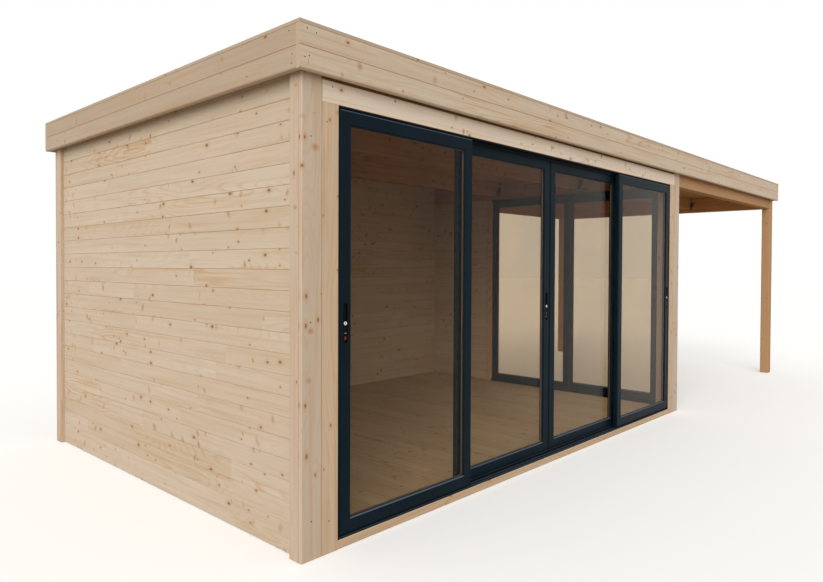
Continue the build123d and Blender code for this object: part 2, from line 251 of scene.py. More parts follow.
@dataclass(frozen=True)
class Effect:
    """A shader node group, built once and placed in each material with its own values.

    Attributes:
        name: The group's name.
        takes, gives: Names of its inputs and outputs, with their kinds: Float, Vector or Color.
        draw: What works the outputs out from the inputs on the group's sheet.
    """

    name: str
    takes: dict[str, str]
    gives: dict[str, str]
    draw: Callable[[NodeSheet, dict[str, Value]], dict[str, Value]]

    def build(self) -> bpy.types.NodeTree:
        """Make the group.

        Returns:
            The group's tree.
        """
        tree = bpy.data.node_groups.new(self.name, "ShaderNodeTree")
        for side, sockets in (("INPUT", self.takes), ("OUTPUT", self.gives)):
            for key, kind in sockets.items():
                tree.interface.new_socket(name=key, in_out=side, socket_type=f"NodeSocket{kind}")
        sheet = NodeSheet(tree)
        given = sheet.place("NodeGroupInput").outputs
        drawn = self.draw(sheet, {key: Value(sheet, given[key]) for key in self.takes})
        sheet.place("NodeGroupOutput", drawn)
        return tree

    def place(self, sheet: NodeSheet, inputs: dict[str, object]) -> dict[str, Value]:
        """Place the group in a material.

        Args:
            sheet: The material's sheet.
            inputs: Values for the group's inputs.

        Returns:
            The group's outputs.
        """
        tree = bpy.data.node_groups.get(self.name) or self.build()
        outputs = sheet.place("ShaderNodeGroup", inputs, node_tree=tree).outputs
        return {key: Value(sheet, outputs[key]) for key in self.gives}


def draw_spruce(sheet: NodeSheet, given: dict[str, Value]) -> dict[str, Value]:
    """Draw planed spruce: growth lines, fibre, round knots, spike knots and a tone for each plank.

    Knots lie in the plane of (along the grain, across it), so every face cuts the same number of them.
    Spike knots are drawn out across the board and lean with it. Both kinds gather in bands across the board,
    as the whorls of a trunk do. The growth lines are contours of a smooth noise drawn out along the grain
    and pushed aside round each knot.

    Args:
        sheet: The group's sheet.
        given: The group's inputs.

    Returns:
        The group's outputs.
    """
    plank = given["Plank"]
    place = sheet.vector("ADD", given["Vector"], sheet.vector("MULTIPLY", plank, (7.31, 3.17, 1.93)))
    along, second, third = sheet.parts("XYZ", place)
    across = second + third
    whorl = sheet.noise(sheet.join(along * 3.4, across * 0.9, 0.0), detail=1.0).smooth(0.46, 0.62)

    here, luck, distance = sheet.cells(along * 8.0, across * 13.0, (whorl * 0.3 + 0.08) * given["Knots"])
    radius = (luck[1].math("POWER", 2.0) * 0.11 + 0.068) * given["Knot size"]
    depth = radius - distance
    core = (depth / (radius * 0.7)).share() * here
    halo = ((radius * 1.6 + depth) / (radius * 2.2)).share() * here

    leaning = along + across * (((plank * 5.31).fraction() - 0.5) * 1.3)
    here, luck, distance = sheet.cells(leaning * 9.0, across * 7.0, (whorl * 0.6 + 0.06) * given["Spikes"])
    radius = luck[1] * 0.15 + 0.1
    spike = ((radius - distance) / (radius * 0.8)).share() * here * (luck[2] * 0.5 + 0.4)

    trunk = sheet.noise(place, (0.45, 4.6, 4.6), 1.5, 0.45)
    fibre = sheet.noise(place, (6.0, 240.0, 240.0))
    streak = sheet.noise(place, (1.3, 46.0, 46.0))
    figure = sheet.noise(place, (0.5, 2.4, 2.4), 1.0).smooth(0.55, 0.72)
    cloud = sheet.noise(place, (1.1, 6.0, 6.0), 3.0)
    ring = (trunk * 34.0 + second * 20.0 + halo * 1.2 + streak * 0.5).fraction()
    late = ring.smooth(0.45, 0.88) * (1.0 - ring.smooth(0.9, 1.0))

    tone = (plank * 7.77).fraction() * 0.42 + cloud * 0.9 - 0.2 + (streak - 0.5) * 0.8
    colour = sheet.mix(tone.share(), given["Pale"], given["Tan"])
    lines = late * (figure * 0.6 + 0.12) * given["Figure"]
    ribbons = streak.smooth(0.5, 0.72) * (figure * 0.4 + 0.22) * given["Figure"]
    for amount in (lines, ribbons, fibre * 0.12, halo * 0.5):
        colour = sheet.mix(amount, colour, given["Line"])
    colour = sheet.mix(spike, colour, sheet.mix(0.3, given["Line"], given["Knot"]))
    colour = sheet.mix(core * 0.82, colour, given["Knot"])
    height = late * 0.4 + fibre * 0.6 + core * 0.5
    return {"Colour": colour, "Roughness": fibre * 0.22 + 0.5, "Height": height}


def draw_skin(sheet: NodeSheet, given: dict[str, Value]) -> dict[str, Value]:
    """Draw the fine skin of a coated, cast or rolled surface: a coarse cloud, a fine grain and their height.

    Args:
        sheet: The group's sheet.
        given: The group's inputs.

    Returns:
        The group's outputs.
    """
    grain = sheet.noise(given["Vector"], given["Grain scale"], 2.0, 0.6)
    cloud = sheet.noise(given["Vector"], given["Cloud scale"], 3.0, 0.55)
    return {"Grain": grain, "Cloud": cloud.smooth(0.3, 0.7), "Height": cloud * 0.2 + grain}


PLANED_SPRUCE = Effect(
    "planed spruce",
    {"Vector": "Vector"}
    | dict.fromkeys(("Pale", "Tan", "Line", "Knot"), "Color")
    | dict.fromkeys(("Plank", "Knots", "Knot size", "Spikes", "Figure"), "Float"),
    {"Colour": "Color", "Roughness": "Float", "Height": "Float"},
    draw_spruce,
)
FINE_SKIN = Effect(
    "fine skin",
    {"Vector": "Vector", "Grain scale": "Float", "Cloud scale": "Float"},
    dict.fromkeys(("Grain", "Cloud", "Height"), "Float"),
    draw_skin,
)


@dataclass(frozen=True)
class Finish:
    """A finish, made a material at its first use.

    Attributes:
        name: The material's name.
    """

    name: str

    def shade(self, sheet: NodeSheet) -> dict[str, object]:
        """Values for the Principled shader's inputs, by name."""
        raise NotImplementedError

    def surface(self, sheet: NodeSheet, shader: Socket) -> Socket:
        """What the material shows: the Principled shader alone."""
        return shader

    def material(self) -> Material:
        """Find the material, or build it.

        Returns:
            The material.
        """
        if self.name in bpy.data.materials:
            return bpy.data.materials[self.name]
        material = bpy.data.materials.new(self.name)
        material.use_nodes = True
        sheet = NodeSheet(material.node_tree)
        shader = sheet.place("ShaderNodeBsdfPrincipled", self.shade(sheet))
        sheet.place("ShaderNodeOutputMaterial", {"Surface": self.surface(sheet, shader.outputs[0])})
        return material


@dataclass(frozen=True)
class Spruce(Finish):
    """Planed, unpainted spruce. The shades are as a screen shows them.

    Attributes:
        along: The direction of the grain.
        pale, tan: The two ends of the wood's tone.
        line: The growth lines.
        knot: The knots.
        end: The end grain.
        seam: Painted shade along the line where two boards meet.
        knots: How many round knots there are, 1 as on the left wall.
        knot_size: How large they are, 1 as on the left wall.
        spikes: How many knots are cut along their length, 1 as on the left wall.
        figure: How strongly the growth lines show, 1 as on the left wall.
        planks: Whether each plank has its own pattern by the mesh's attribute.
        split: A direction and place where one board ends and the next starts, with another pattern.
        shine: The strength of the shine.
        seam_width: Distance from a split where the seam starts to fade, and where it is gone.
        numbers: The number of the board before a split, and what the next one's adds.
        relief: How deep the grain is, in metres.
    """

    along: Axis
    pale: Shade = (214, 201, 184)
    tan: Shade = (200, 182, 158)
    line: Shade = (196, 154, 112)
    knot: Shade = (122, 78, 46)
    end: Shade = (200, 170, 138)
    seam: Shade = (182, 138, 96)
    knots: float = 1.0
    knot_size: float = 1.0
    spikes: float = 1.0
    figure: float = 1.0
    planks: bool = False
    split: tuple[Axis, float] | None = None
    shine: float = 0.08
    seam_width: Span = (0.0006, 0.0026)
    numbers: Span = (0.29, 0.55)
    relief: float = 0.0008

    def boards(self, sheet: NodeSheet, parts: Sequence[Value]) -> tuple[object, Value | None]:
        """Find the plank and the line between boards.

        Args:
            sheet: The material's sheet.
            parts: The three values of the place on the piece.

        Returns:
            The number that tells a plank from its neighbours, and how much of the seam's colour shows.
        """
        if self.planks:
            marks = (sheet.out("ShaderNodeAttribute", None, "Fac", attribute_name=name) for name in MARKS)
            return tuple(marks)
        if self.split:
            axis, level = self.split
            place = parts[axis.value]
            line = 1.0 - (place - level).math("ABSOLUTE").smooth(*self.seam_width)
            first, step = self.numbers
            return place.math("GREATER_THAN", level) * step + first, line
        return 0.0, None

    def shade(self, sheet: NodeSheet) -> dict[str, object]:
        """Grain over the wood, painted shade along the seams between boards, and end grain where a face cuts
        across it.

        Args:
            sheet: The material's sheet.

        Returns:
            Values for the Principled shader's inputs.
        """
        coordinates = sheet.place("ShaderNodeTexCoord").outputs
        parts = sheet.parts("XYZ", coordinates["Object"])
        order = [self.along] + [axis for axis in (Axis.Z, Axis.X, Axis.Y) if axis is not self.along]
        plank, seam = self.boards(sheet, parts)
        inputs = {"Vector": sheet.join(*(parts[axis.value] for axis in order)), "Plank": plank}
        inputs |= {"Pale": paint(self.pale), "Tan": paint(self.tan), "Line": paint(self.line)}
        inputs |= {"Knot": paint(self.knot), "Knots": self.knots, "Knot size": self.knot_size}
        inputs |= {"Spikes": self.spikes, "Figure": self.figure}
        wood = PLANED_SPRUCE.place(sheet, inputs)
        colour = wood["Colour"]
        # Painted shade in the joints: the seam colour along each joint, stronger on some planks than on
        # others.
        if seam is not None:
            strength = (plank * 3.37).fraction() * 0.75 + 0.25
            colour = sheet.mix(seam * strength, colour, paint(self.seam))
        facing = sheet.parts("XYZ", coordinates["Normal"])[self.along.value].math("ABSOLUTE")
        colour = sheet.mix(facing.smooth(0.6, 0.9) * 0.85, colour, paint(self.end))
        return {
            "Base Color": colour,
            "Roughness": wood["Roughness"],
            "Normal": sheet.bump(wood["Height"], 0.25, self.relief),
            "Specular IOR Level": self.shine,
        }


@dataclass(frozen=True)
class Coated(Finish):
    """A coated, moulded or rolled surface of one colour with a fine skin.

    Attributes:
        colour, cloud: The colour as a screen shows it, and what it turns to in faint clouds.
        rough: The roughness where the grain is low, and where it is high.
        metallic: 1 for bare metal.
        specular: The strength of the shine on a coating.
        shine: The tint of that shine.
        sky_sheen: Painted highlight colour for faces that look up, as though they mirrored the sky, if there
            is one.
        grain, clouds: How many grains and clouds there are to the metre.
        relief: How deep the grain is, in metres.
    """

    colour: Shade
    cloud: Shade
    rough: Span = (0.35, 0.5)
    metallic: float = 0.0
    specular: float = 0.5
    shine: Colour = WHITE
    sky_sheen: Shade | None = None
    grain: float = 900.0
    clouds: float = 3.0
    relief: float = 0.0001

    def shade(self, sheet: NodeSheet) -> dict[str, object]:
        """Faint clouds over the colour, a painted sky highlight on faces that look up, and a fine grain.

        Args:
            sheet: The material's sheet.

        Returns:
            Values for the Principled shader's inputs.
        """
        coordinates = sheet.place("ShaderNodeTexCoord").outputs
        inputs = {"Vector": coordinates["Object"], "Grain scale": self.grain, "Cloud scale": self.clouds}
        skin = FINE_SKIN.place(sheet, inputs)
        colour = sheet.mix(skin["Cloud"], paint(self.colour), paint(self.cloud))
        # Painted highlight: faces that look up turn towards a sky colour, as though they mirrored the sky.
        if self.sky_sheen:
            rise = sheet.parts("XYZ", coordinates["Normal"])[Axis.Z.value]
            colour = sheet.mix(rise.smooth(0.2, 0.75), colour, paint(self.sky_sheen))
        low, high = self.rough
        return {
            "Base Color": colour,
            "Roughness": skin["Grain"] * (high - low) + low,
            "Normal": sheet.bump(skin["Height"], 0.4, self.relief),
            "Metallic": self.metallic,
            "Specular IOR Level": self.specular,
            "Specular Tint": self.shine,
        }


@dataclass(frozen=True)
class Glazing(Finish):
    """Clear, faintly bronze glass that lets daylight into the room.

    Attributes:
        tint, smear: What the eye sees through one pane, where it is clean and where it is wiped dull.
        daylight: What one pane lets into the room.
        index: How strongly it bends and mirrors light.
    """

    name: str = "bronze_glass"
    tint: Colour = (0.7, 0.62, 0.51)
    smear: Colour = (0.66, 0.59, 0.5)
    daylight: Colour = (0.96, 0.95, 0.92)
    index: float = 1.15

    def shade(self, sheet: NodeSheet) -> dict[str, object]:
        """Clear glass with faint, broad wipe marks in its tint.

        Args:
            sheet: The material's sheet.

        Returns:
            Values for the Principled shader's inputs.
        """
        place = sheet.place("ShaderNodeTexCoord").outputs["Object"]
        tint = sheet.mix(sheet.noise(place, 2.2, 3.0, 0.55).smooth(0.35, 0.75), self.tint, self.smear)
        return {"Base Color": tint, "Roughness": 0.0, "IOR": self.index, "Transmission Weight": 1.0}

    def surface(self, sheet: NodeSheet, shader: Socket) -> Socket:
        """Let daylight straight through, and show glass to everything else.

        Args:
            sheet: The material's sheet.
            shader: The Principled shader.

        Returns:
            The mixed shader.
        """
        clear = sheet.place("ShaderNodeBsdfTransparent", {"Color": self.daylight}).outputs[0]
        path = sheet.place("ShaderNodeLightPath").outputs
        passing = Value(sheet, path["Is Shadow Ray"]).math("MAXIMUM", path["Is Diffuse Ray"])
        return sheet.place("ShaderNodeMixShader", {0: passing, 1: shader, 2: clear}).outputs[0]


# Beams, purlins and roof boards: more orange than the walls, partly the timber's own tone and partly painted
# shade and bounced light under the roof.
WARM = {"pale": (190, 148, 106), "tan": (170, 125, 82), "line": (152, 102, 58), "shine": 0.0}
# A lighter copy of the warm wood for the canopy's end beam: painted light on its inner face, which lies in
# the roof's shade.
SUNLIT = WARM | {"pale": (216, 168, 118), "tan": (198, 146, 96)}
POST = {"pale": (209, 194, 177), "tan": (193, 173, 151), "knot": (144, 92, 56)}
POST |= {"knots": 1.0, "knot_size": 0.85, "spikes": 0.6, "figure": 1.6}
# A lighter copy of the post wood: painted light that brightens the front right post beyond what the lamps
# give it.
RIGHT_POST = POST | {"pale": (214, 201, 187), "tan": (199, 182, 166)}
JAMB = POST | {"pale": (212, 190, 165), "tan": (196, 169, 142), "knots": 1.3, "figure": 2.0}
# Paler than the posts: painted light that makes up for the shade of the roof's overhang on the lintel.
LINTEL = POST | {"pale": (239, 226, 211), "tan": (229, 213, 196), "knots": 1.6, "figure": 0.8}
# Canopy posts and long beams: a darker, more orange copy of the post wood, painted shade and bounced light
# under the canopy roof.
CANOPY = POST | {"pale": (192, 154, 118), "tan": (174, 134, 96), "shine": 0.0}
SILL = POST | {"pale": (208, 184, 156), "tan": (190, 163, 132)}
FASCIA = {"pale": (216, 202, 184), "tan": (200, 182, 161), "end": (190, 170, 146)}
FASCIA |= {"knots": 0.7, "knot_size": 0.8, "spikes": 0.5, "figure": 1.4}
END_FASCIA = FASCIA | {"pale": (190, 175, 157), "tan": (174, 156, 136)}
CAP = FASCIA | {"pale": (192, 177, 158), "tan": (173, 156, 136)}

# A dark grey coating with a blue cast in its colour and in its shine's tint: painted sky reflection.
ALUMINIUM = Coated(
    "anthracite_coating",
    (14, 27, 34),
    (18, 31, 39),
    (0.32, 0.46),
    specular=0.05,
    shine=(0.35, 0.7, 1.0),
    sky_sheen=(84, 97, 114),
)
# Its upward colour is a painted sky highlight on faces that look up.
TRACK = Coated("track_coating", (13, 19, 24), (17, 24, 29), specular=0.06, sky_sheen=(58, 70, 82))
PLASTIC = Coated("black_plastic", (8, 9, 10), (12, 13, 14), (0.4, 0.6), specular=0.06, grain=1400.0)
RUBBER = Coated("black_gasket", (10, 10, 11), (16, 16, 17), (0.6, 0.8), specular=0.25)
SPACER = Coated("spacer_bar", (104, 90, 80), (92, 80, 72), (0.4, 0.55))
SATIN_STEEL = Coated("satin_steel", (206, 206, 204), (186, 187, 188), (0.2, 0.34), 1.0)
ZINC = Coated("zinc_coated_steel", (120, 122, 124), (92, 94, 96), (0.4, 0.6), 0.85, clouds=60.0)
NAIL = Coated("nail_steel", (66, 62, 58), (46, 42, 40), (0.4, 0.6), 0.6)
SIGNAL_RED = Coated("red_indicator", (158, 30, 34), (136, 24, 28), (0.3, 0.4), specular=0.2)
ROOF_SHEET = Coated(
    "roof_sheet", (58, 59, 60), (70, 71, 71), (0.75, 0.95), specular=0.25, grain=700.0, relief=0.0006
)

MARKS = ("plank", "seam")
CORNERS = np.array([(0, 0), (1, 0), (1, 1), (0, 1)])


class Surface:
    """Grows one mesh out of rings of points, each set swept along its own path."""

    def __init__(self) -> None:
        """Start with no points."""
        self.points: list[np.ndarray] = []
        self.faces: list[list[int]] = []
        self.marks: dict[str, list[np.ndarray]] = {key: [] for key in MARKS}
        self.count = 0

    def sweep(self, rings: np.ndarray, loop: bool = False, plank: float = 0.0, seam: object = 0.0) -> None:
        """Join neighbouring rings with quads, and close the ends or the loop.

        A quad joins point j and j + 1 of ring i to the same points of ring i + 1. The sign of the solid's
        volume, the sum of a . (b x c) over the fans of its faces, says whether its faces have to be turned.

        Args:
            rings: Closed outlines of equal size, as an array of rings by points by 3.
            loop: Join the last ring to the first instead of closing both ends.
            plank: The number that tells this plank from its neighbours.
            seam: How deep each point of the outline lies in a joint, from 0 to 1.
        """
        ring_count, ring_size = rings.shape[:2]
        index = np.arange(ring_count * ring_size).reshape(ring_count, ring_size)
        near = index if loop else index[:-1]
        far = np.roll(index, -1, 0) if loop else index[1:]
        quads = np.stack([near, np.roll(near, -1, 1), np.roll(far, -1, 1), far], -1).reshape(-1, 4)
        shapes = [quads] if loop else [quads, index[:1, ::-1], index[-1:]]
        points = rings.reshape(-1, 3)
        middle = points - points.mean(0)
        volume = 0.0
        for shape in shapes:
            corners = middle[shape]
            volume += float((corners[:, :1] * np.cross(corners[:, 1:-1], corners[:, 2:])).sum())
        for shape in shapes:
            self.faces += ((shape if volume > 0 else shape[:, ::-1]) + self.count).tolist()
        self.points.append(points)
        for key, value in zip(MARKS, (plank, seam)):
            self.marks[key].append(np.broadcast_to(value, (ring_count, ring_size)).ravel().astype(np.float32))
        self.count += len(points)

    def carry(self, axes: Axes, run: Span, section: np.ndarray, plank: float = 0.0) -> None:
        """Carry a section straight along: each end's ring is the section with the run's place added.

        Args:
            axes: Directions of the run and of the section's first and second value.
            run: Where it starts and ends.
            section: Points of (first, second, share of the seam).
            plank: The number that tells this plank from its neighbours.
        """
        rings = np.empty((2, len(section), 3))
        for axis, values in zip(axes, (np.array(run)[:, None], section[:, 0], section[:, 1])):
            rings[:, :, axis.value] = values
        self.sweep(rings, plank=plank, seam=section[:, 2])

    def surround(self, axes: Axes, box: np.ndarray, section: object) -> None:
        """Carry a section round a rectangle: each corner's ring is drawn in both ways by its insets.

        Args:
            axes: The rectangle's two directions, and the one across it.
            box: Low and high corner of the rectangle, as an array of 2 by 3.
            section: Points of (inset, place across the rectangle).
        """
        inset, depth = np.array(section).T
        rings = np.empty((4, len(inset), 3))
        for axis, ends in zip(axes, CORNERS.T):
            rings[:, :, axis.value] = box[ends, axis.value][:, None] + (1 - 2 * ends[:, None]) * inset
        rings[:, :, axes[2].value] = depth
        self.sweep(rings, loop=True)

    def piece(self, name: str, finish: Finish, body: str = ROOT, slot: str | None = None) -> bpy.types.Object:
        """Make the mesh an object of the scene.

        Args:
            name: The piece's name.
            finish: The finish that it gets.
            body: The CAD body that it moves with.
            slot: Name of a material slot in the record; not used.

        Returns:
            The new object, at the origin.
        """
        mesh = bpy.data.meshes.new(name)
        mesh.from_pydata(np.concatenate(self.points).tolist(), [], self.faces)
        for key, values in self.marks.items():
            mesh.attributes.new(key, "FLOAT", "POINT").data.foreach_set("value", np.concatenate(values))
        mesh.materials.append(finish.material())
        made = bpy.data.objects.new(name, mesh)
        bpy.context.scene.collection.objects.link(made)
        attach(made, body)
        log.info("%s: %d faces", name, len(mesh.polygons))
        return made


def rounded_outline(half_width: float, half_height: float, radius: float, steps: int = 6) -> np.ndarray:
    """Outline of a rounded rectangle, a circle or a slot.

    A point turns through a full circle of the corner radius, and each quarter of the circle is moved out to
    its own corner.

    Args:
        half_width, half_height: Half the size of the whole outline.
        radius: Radius of its corners.
        steps: Points in each corner.

    Returns:
        An array of points by 2.
    """
    quarter = np.linspace(0, math.pi / 2, steps)
    angles = (quarter + np.arange(4)[:, None] * math.pi / 2).ravel()
    signs = np.repeat([[1, 1], [-1, 1], [-1, -1], [1, -1]], steps, 0)
    corners = signs * [half_width - radius, half_height - radius]
    return corners + radius * np.stack([np.cos(angles), np.sin(angles)], 1)


def box_of(*nodes: str) -> np.ndarray:
    """Lowest and highest corner of one or more CAD nodes, as an array of 2 by 3."""
    boxes = np.array([[list(corner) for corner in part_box(node)] for node in nodes])
    return np.array([boxes[:, 0].min(0), boxes[:, 1].max(0)])


def dress(nodes: Iterable[str], finish: Finish) -> None:
    """Give CAD nodes their finish.

    Args:
        nodes: Names of the nodes.
        finish: The finish.
    """
    for node in nodes:
        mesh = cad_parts[node].data
        mesh.materials.clear()
        mesh.materials.append(finish.material())
        log.info("%s: %s", node, finish.name)


@dataclass
class Boarding:
    """Tongued boards with V joints that stand for a plain slab.

    Attributes:
        name: The piece's name.
        node: The CAD slab that it replaces.
        axes: Directions along a board, from board to board, and through the boards.
        cover: What one board covers.
        chamfer: Width of the chamfer on each edge of the two faces.
        seed: Start of the random lengths and tones.
        finish: The wood.
        slot: The record's material slot.
        gap: Open joint between neighbouring faces.
        tongue: Width and height of the tongue, as shares of the thickness.
        lit: Share of the seam's painted shade on the chamfer that looks up, which catches more light.
        lengths: Shortest and longest stretch of one tone.
        first: Shortest first stretch.
        sliver: Share of a board's cover that is too narrow to be a board.
    """

    name: str
    node: str
    axes: Axes
    cover: float
    chamfer: float
    seed: int
    finish: Spruce
    slot: str
    gap: float = 0.0003
    tongue: Span = (0.3, 0.16)
    lit: float = 0.35
    lengths: Span = (0.7, 2.8)
    first: float = 0.2
    sliver: float = 0.02

    def profile(self, low: float, high: float, thickness: float) -> np.ndarray:
        """Section of one board: chamfered faces, a tongue on top and a groove below.

        Args:
            low, high: Where the board's cover starts and ends.
            thickness: The board's thickness.

        Returns:
            An array of (rise, depth, share of the seam) points.
        """
        slack = self.gap / 2
        bottom, top, cut = low + slack, high - slack, self.chamfer
        half, reach = thickness * self.tongue[0] / 2, thickness * self.tongue[1]
        near, far = thickness / 2 - half, thickness / 2 + half
        outline = [
            (bottom, cut, 1),
            (bottom + cut, 0, 0),
            (top - cut, 0, 0),
            (top, cut, self.lit),
            (top, near, 1),
            (top + reach, near, 1),
            (top + reach, far, 1),
            (top, far, 1),
            (top, thickness - cut, 1),
            (top - cut, thickness, 0),
            (bottom + cut, thickness, 0),
            (bottom, thickness - cut, 1),
            (bottom, far + slack, 1),
            (bottom + reach + slack, far + slack, 1),
            (bottom + reach + slack, near - slack, 1),
            (bottom, near - slack, 1),
        ]
        return np.array(outline)

    def build(self) -> None:
        """Lay all boards and hide the slab."""
        run, rise, depth = box_of(self.node)[:, [axis.value for axis in self.axes]].T
        surface = Surface()
        chance = np.random.default_rng(self.seed)
        for row in range(math.ceil((rise[1] - rise[0]) / self.cover - self.sliver)):
            start = rise[0] + row * self.cover
            section = self.profile(start, start + self.cover, depth[1] - depth[0])
            section[:, 0] = np.clip(section[:, 0], *rise)
            section[:, 1] += depth[0]
            place = run[0]
            step = chance.uniform(self.first, self.lengths[1])
            while place < run[1] - 1e-6:
                stop = run[1] if place + step > run[1] - self.lengths[0] / 2 else place + step
                surface.carry(self.axes, (place, stop), section, float(chance.random()))
                place = stop
                step = chance.uniform(*self.lengths)
        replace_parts(surface.piece(self.name, self.finish, slot=self.slot), self.node)


@dataclass
class Cladding:
    """The boarded walls, the floor and the roof deck.

    Attributes:
        wall, floor, ceiling: What one board of each covers, and the width of its chamfers.
        first_seed: Seed of the first slab. Each slab after it has the next number.
    """

    wall: Span = (0.1043, 0.0024)
    floor: Span = (0.121, 0.0015)
    ceiling: Span = (0.111, 0.0024)
    first_seed: int = 11

    def build(self) -> None:
        """Lay the walls, and the floor planks and roof boards from front to back."""
        side, back, flat = (Axis.Y, Axis.Z, Axis.X), (Axis.X, Axis.Z, Axis.Y), (Axis.Y, Axis.X, Axis.Z)
        along = Spruce("spruce_wall_boards_along", Axis.X, planks=True)
        across = Spruce("spruce_wall_boards_across", Axis.Y, planks=True)
        pale = Spruce("spruce_floor_planks", Axis.Y, (225, 208, 180), (204, 182, 150), planks=True, knots=0.7)
        warm = Spruce("spruce_roof_boards", Axis.Y, planks=True, knots=0.8, **WARM)
        slabs = (
            ("left_wall_boards", "left_wall", side, self.wall, across, "wall_boards"),
            ("back_wall_boards", "back_wall", back, self.wall, along, "wall_boards"),
            ("right_wall_boards", "right_wall", side, self.wall, across, "wall_boards"),
            ("floor_planks", "floor_deck", flat, self.floor, pale, "floor_boards"),
            ("roof_boards", "roof_deck", flat, self.ceiling, warm, "roof_timber"),
        )
        for seed, (name, node, axes, sizes, wood, slot) in enumerate(slabs, self.first_seed):
            Boarding(name, node, axes, *sizes, seed, wood, slot).build()


@dataclass
class TimberFrame:
    """Posts, jambs, beams, base and roof edge, each with its grain along its length.

    Attributes:
        corner_joint: Where the front board of a post laps its side board.
        fascia_lower_board: Height of the lower board of the roof edge.
    """

    corner_joint: float = 0.024
    fascia_lower_board: float = 0.108

    def build(self) -> None:
        """Dress every timber node, the roof sheet and the hangers."""
        front = (Axis.Y, box_of("front_left_post")[0, Axis.Y.value] + self.corner_joint)
        back = (Axis.Y, box_of("back_left_post")[1, Axis.Y.value] - self.corner_joint)
        joint = (Axis.Z, box_of("long_fascias")[0, Axis.Z.value] + self.fascia_lower_board)
        head = (Axis.Z, box_of("front_lintel")[0, Axis.Z.value])
        beams = ("front_beam", "house_purlins", "canopy_purlins", "parapet_long_kerbs")
        for name, along, split, wood, *nodes in (
            ("front_left_post", Axis.Z, front, POST, "front_left_post"),
            ("front_right_post", Axis.Z, front, RIGHT_POST, "front_right_post"),
            ("back_posts", Axis.Z, back, POST, "back_left_post", "back_right_post"),
            ("canopy_posts", Axis.Z, None, CANOPY, "canopy_posts"),
            ("jambs", Axis.Z, None, JAMB, "front_jambs", "side_jambs"),
            ("fascia_along", Axis.X, joint, FASCIA, "long_fascias"),
            ("fascia_across", Axis.Y, joint, END_FASCIA, "end_fascias"),
            ("caps_along", Axis.X, None, CAP, "long_caps"),
            ("caps_across", Axis.Y, None, CAP, "end_caps"),
            ("lintel", Axis.X, head, LINTEL, "front_lintel"),
            ("beams_along", Axis.X, None, WARM, *beams),
            ("canopy_beams", Axis.X, None, CANOPY, "canopy_long_beams"),
            ("beams_across", Axis.Y, None, WARM, "right_beam", "parapet_end_kerbs"),
            ("canopy_end_beam", Axis.Y, None, SUNLIT, "canopy_end_beam"),
            ("base_along", Axis.X, None, SILL, "base_long_beams"),
            ("base_across", Axis.Y, None, {}, "base_cross_beams"),
        ):
            dress(nodes, Spruce(f"spruce_{name}", along, split=split, **wood))
        dress(["roof_membrane"], ROOF_SHEET)
        dress(["joist_hangers"], ZINC)


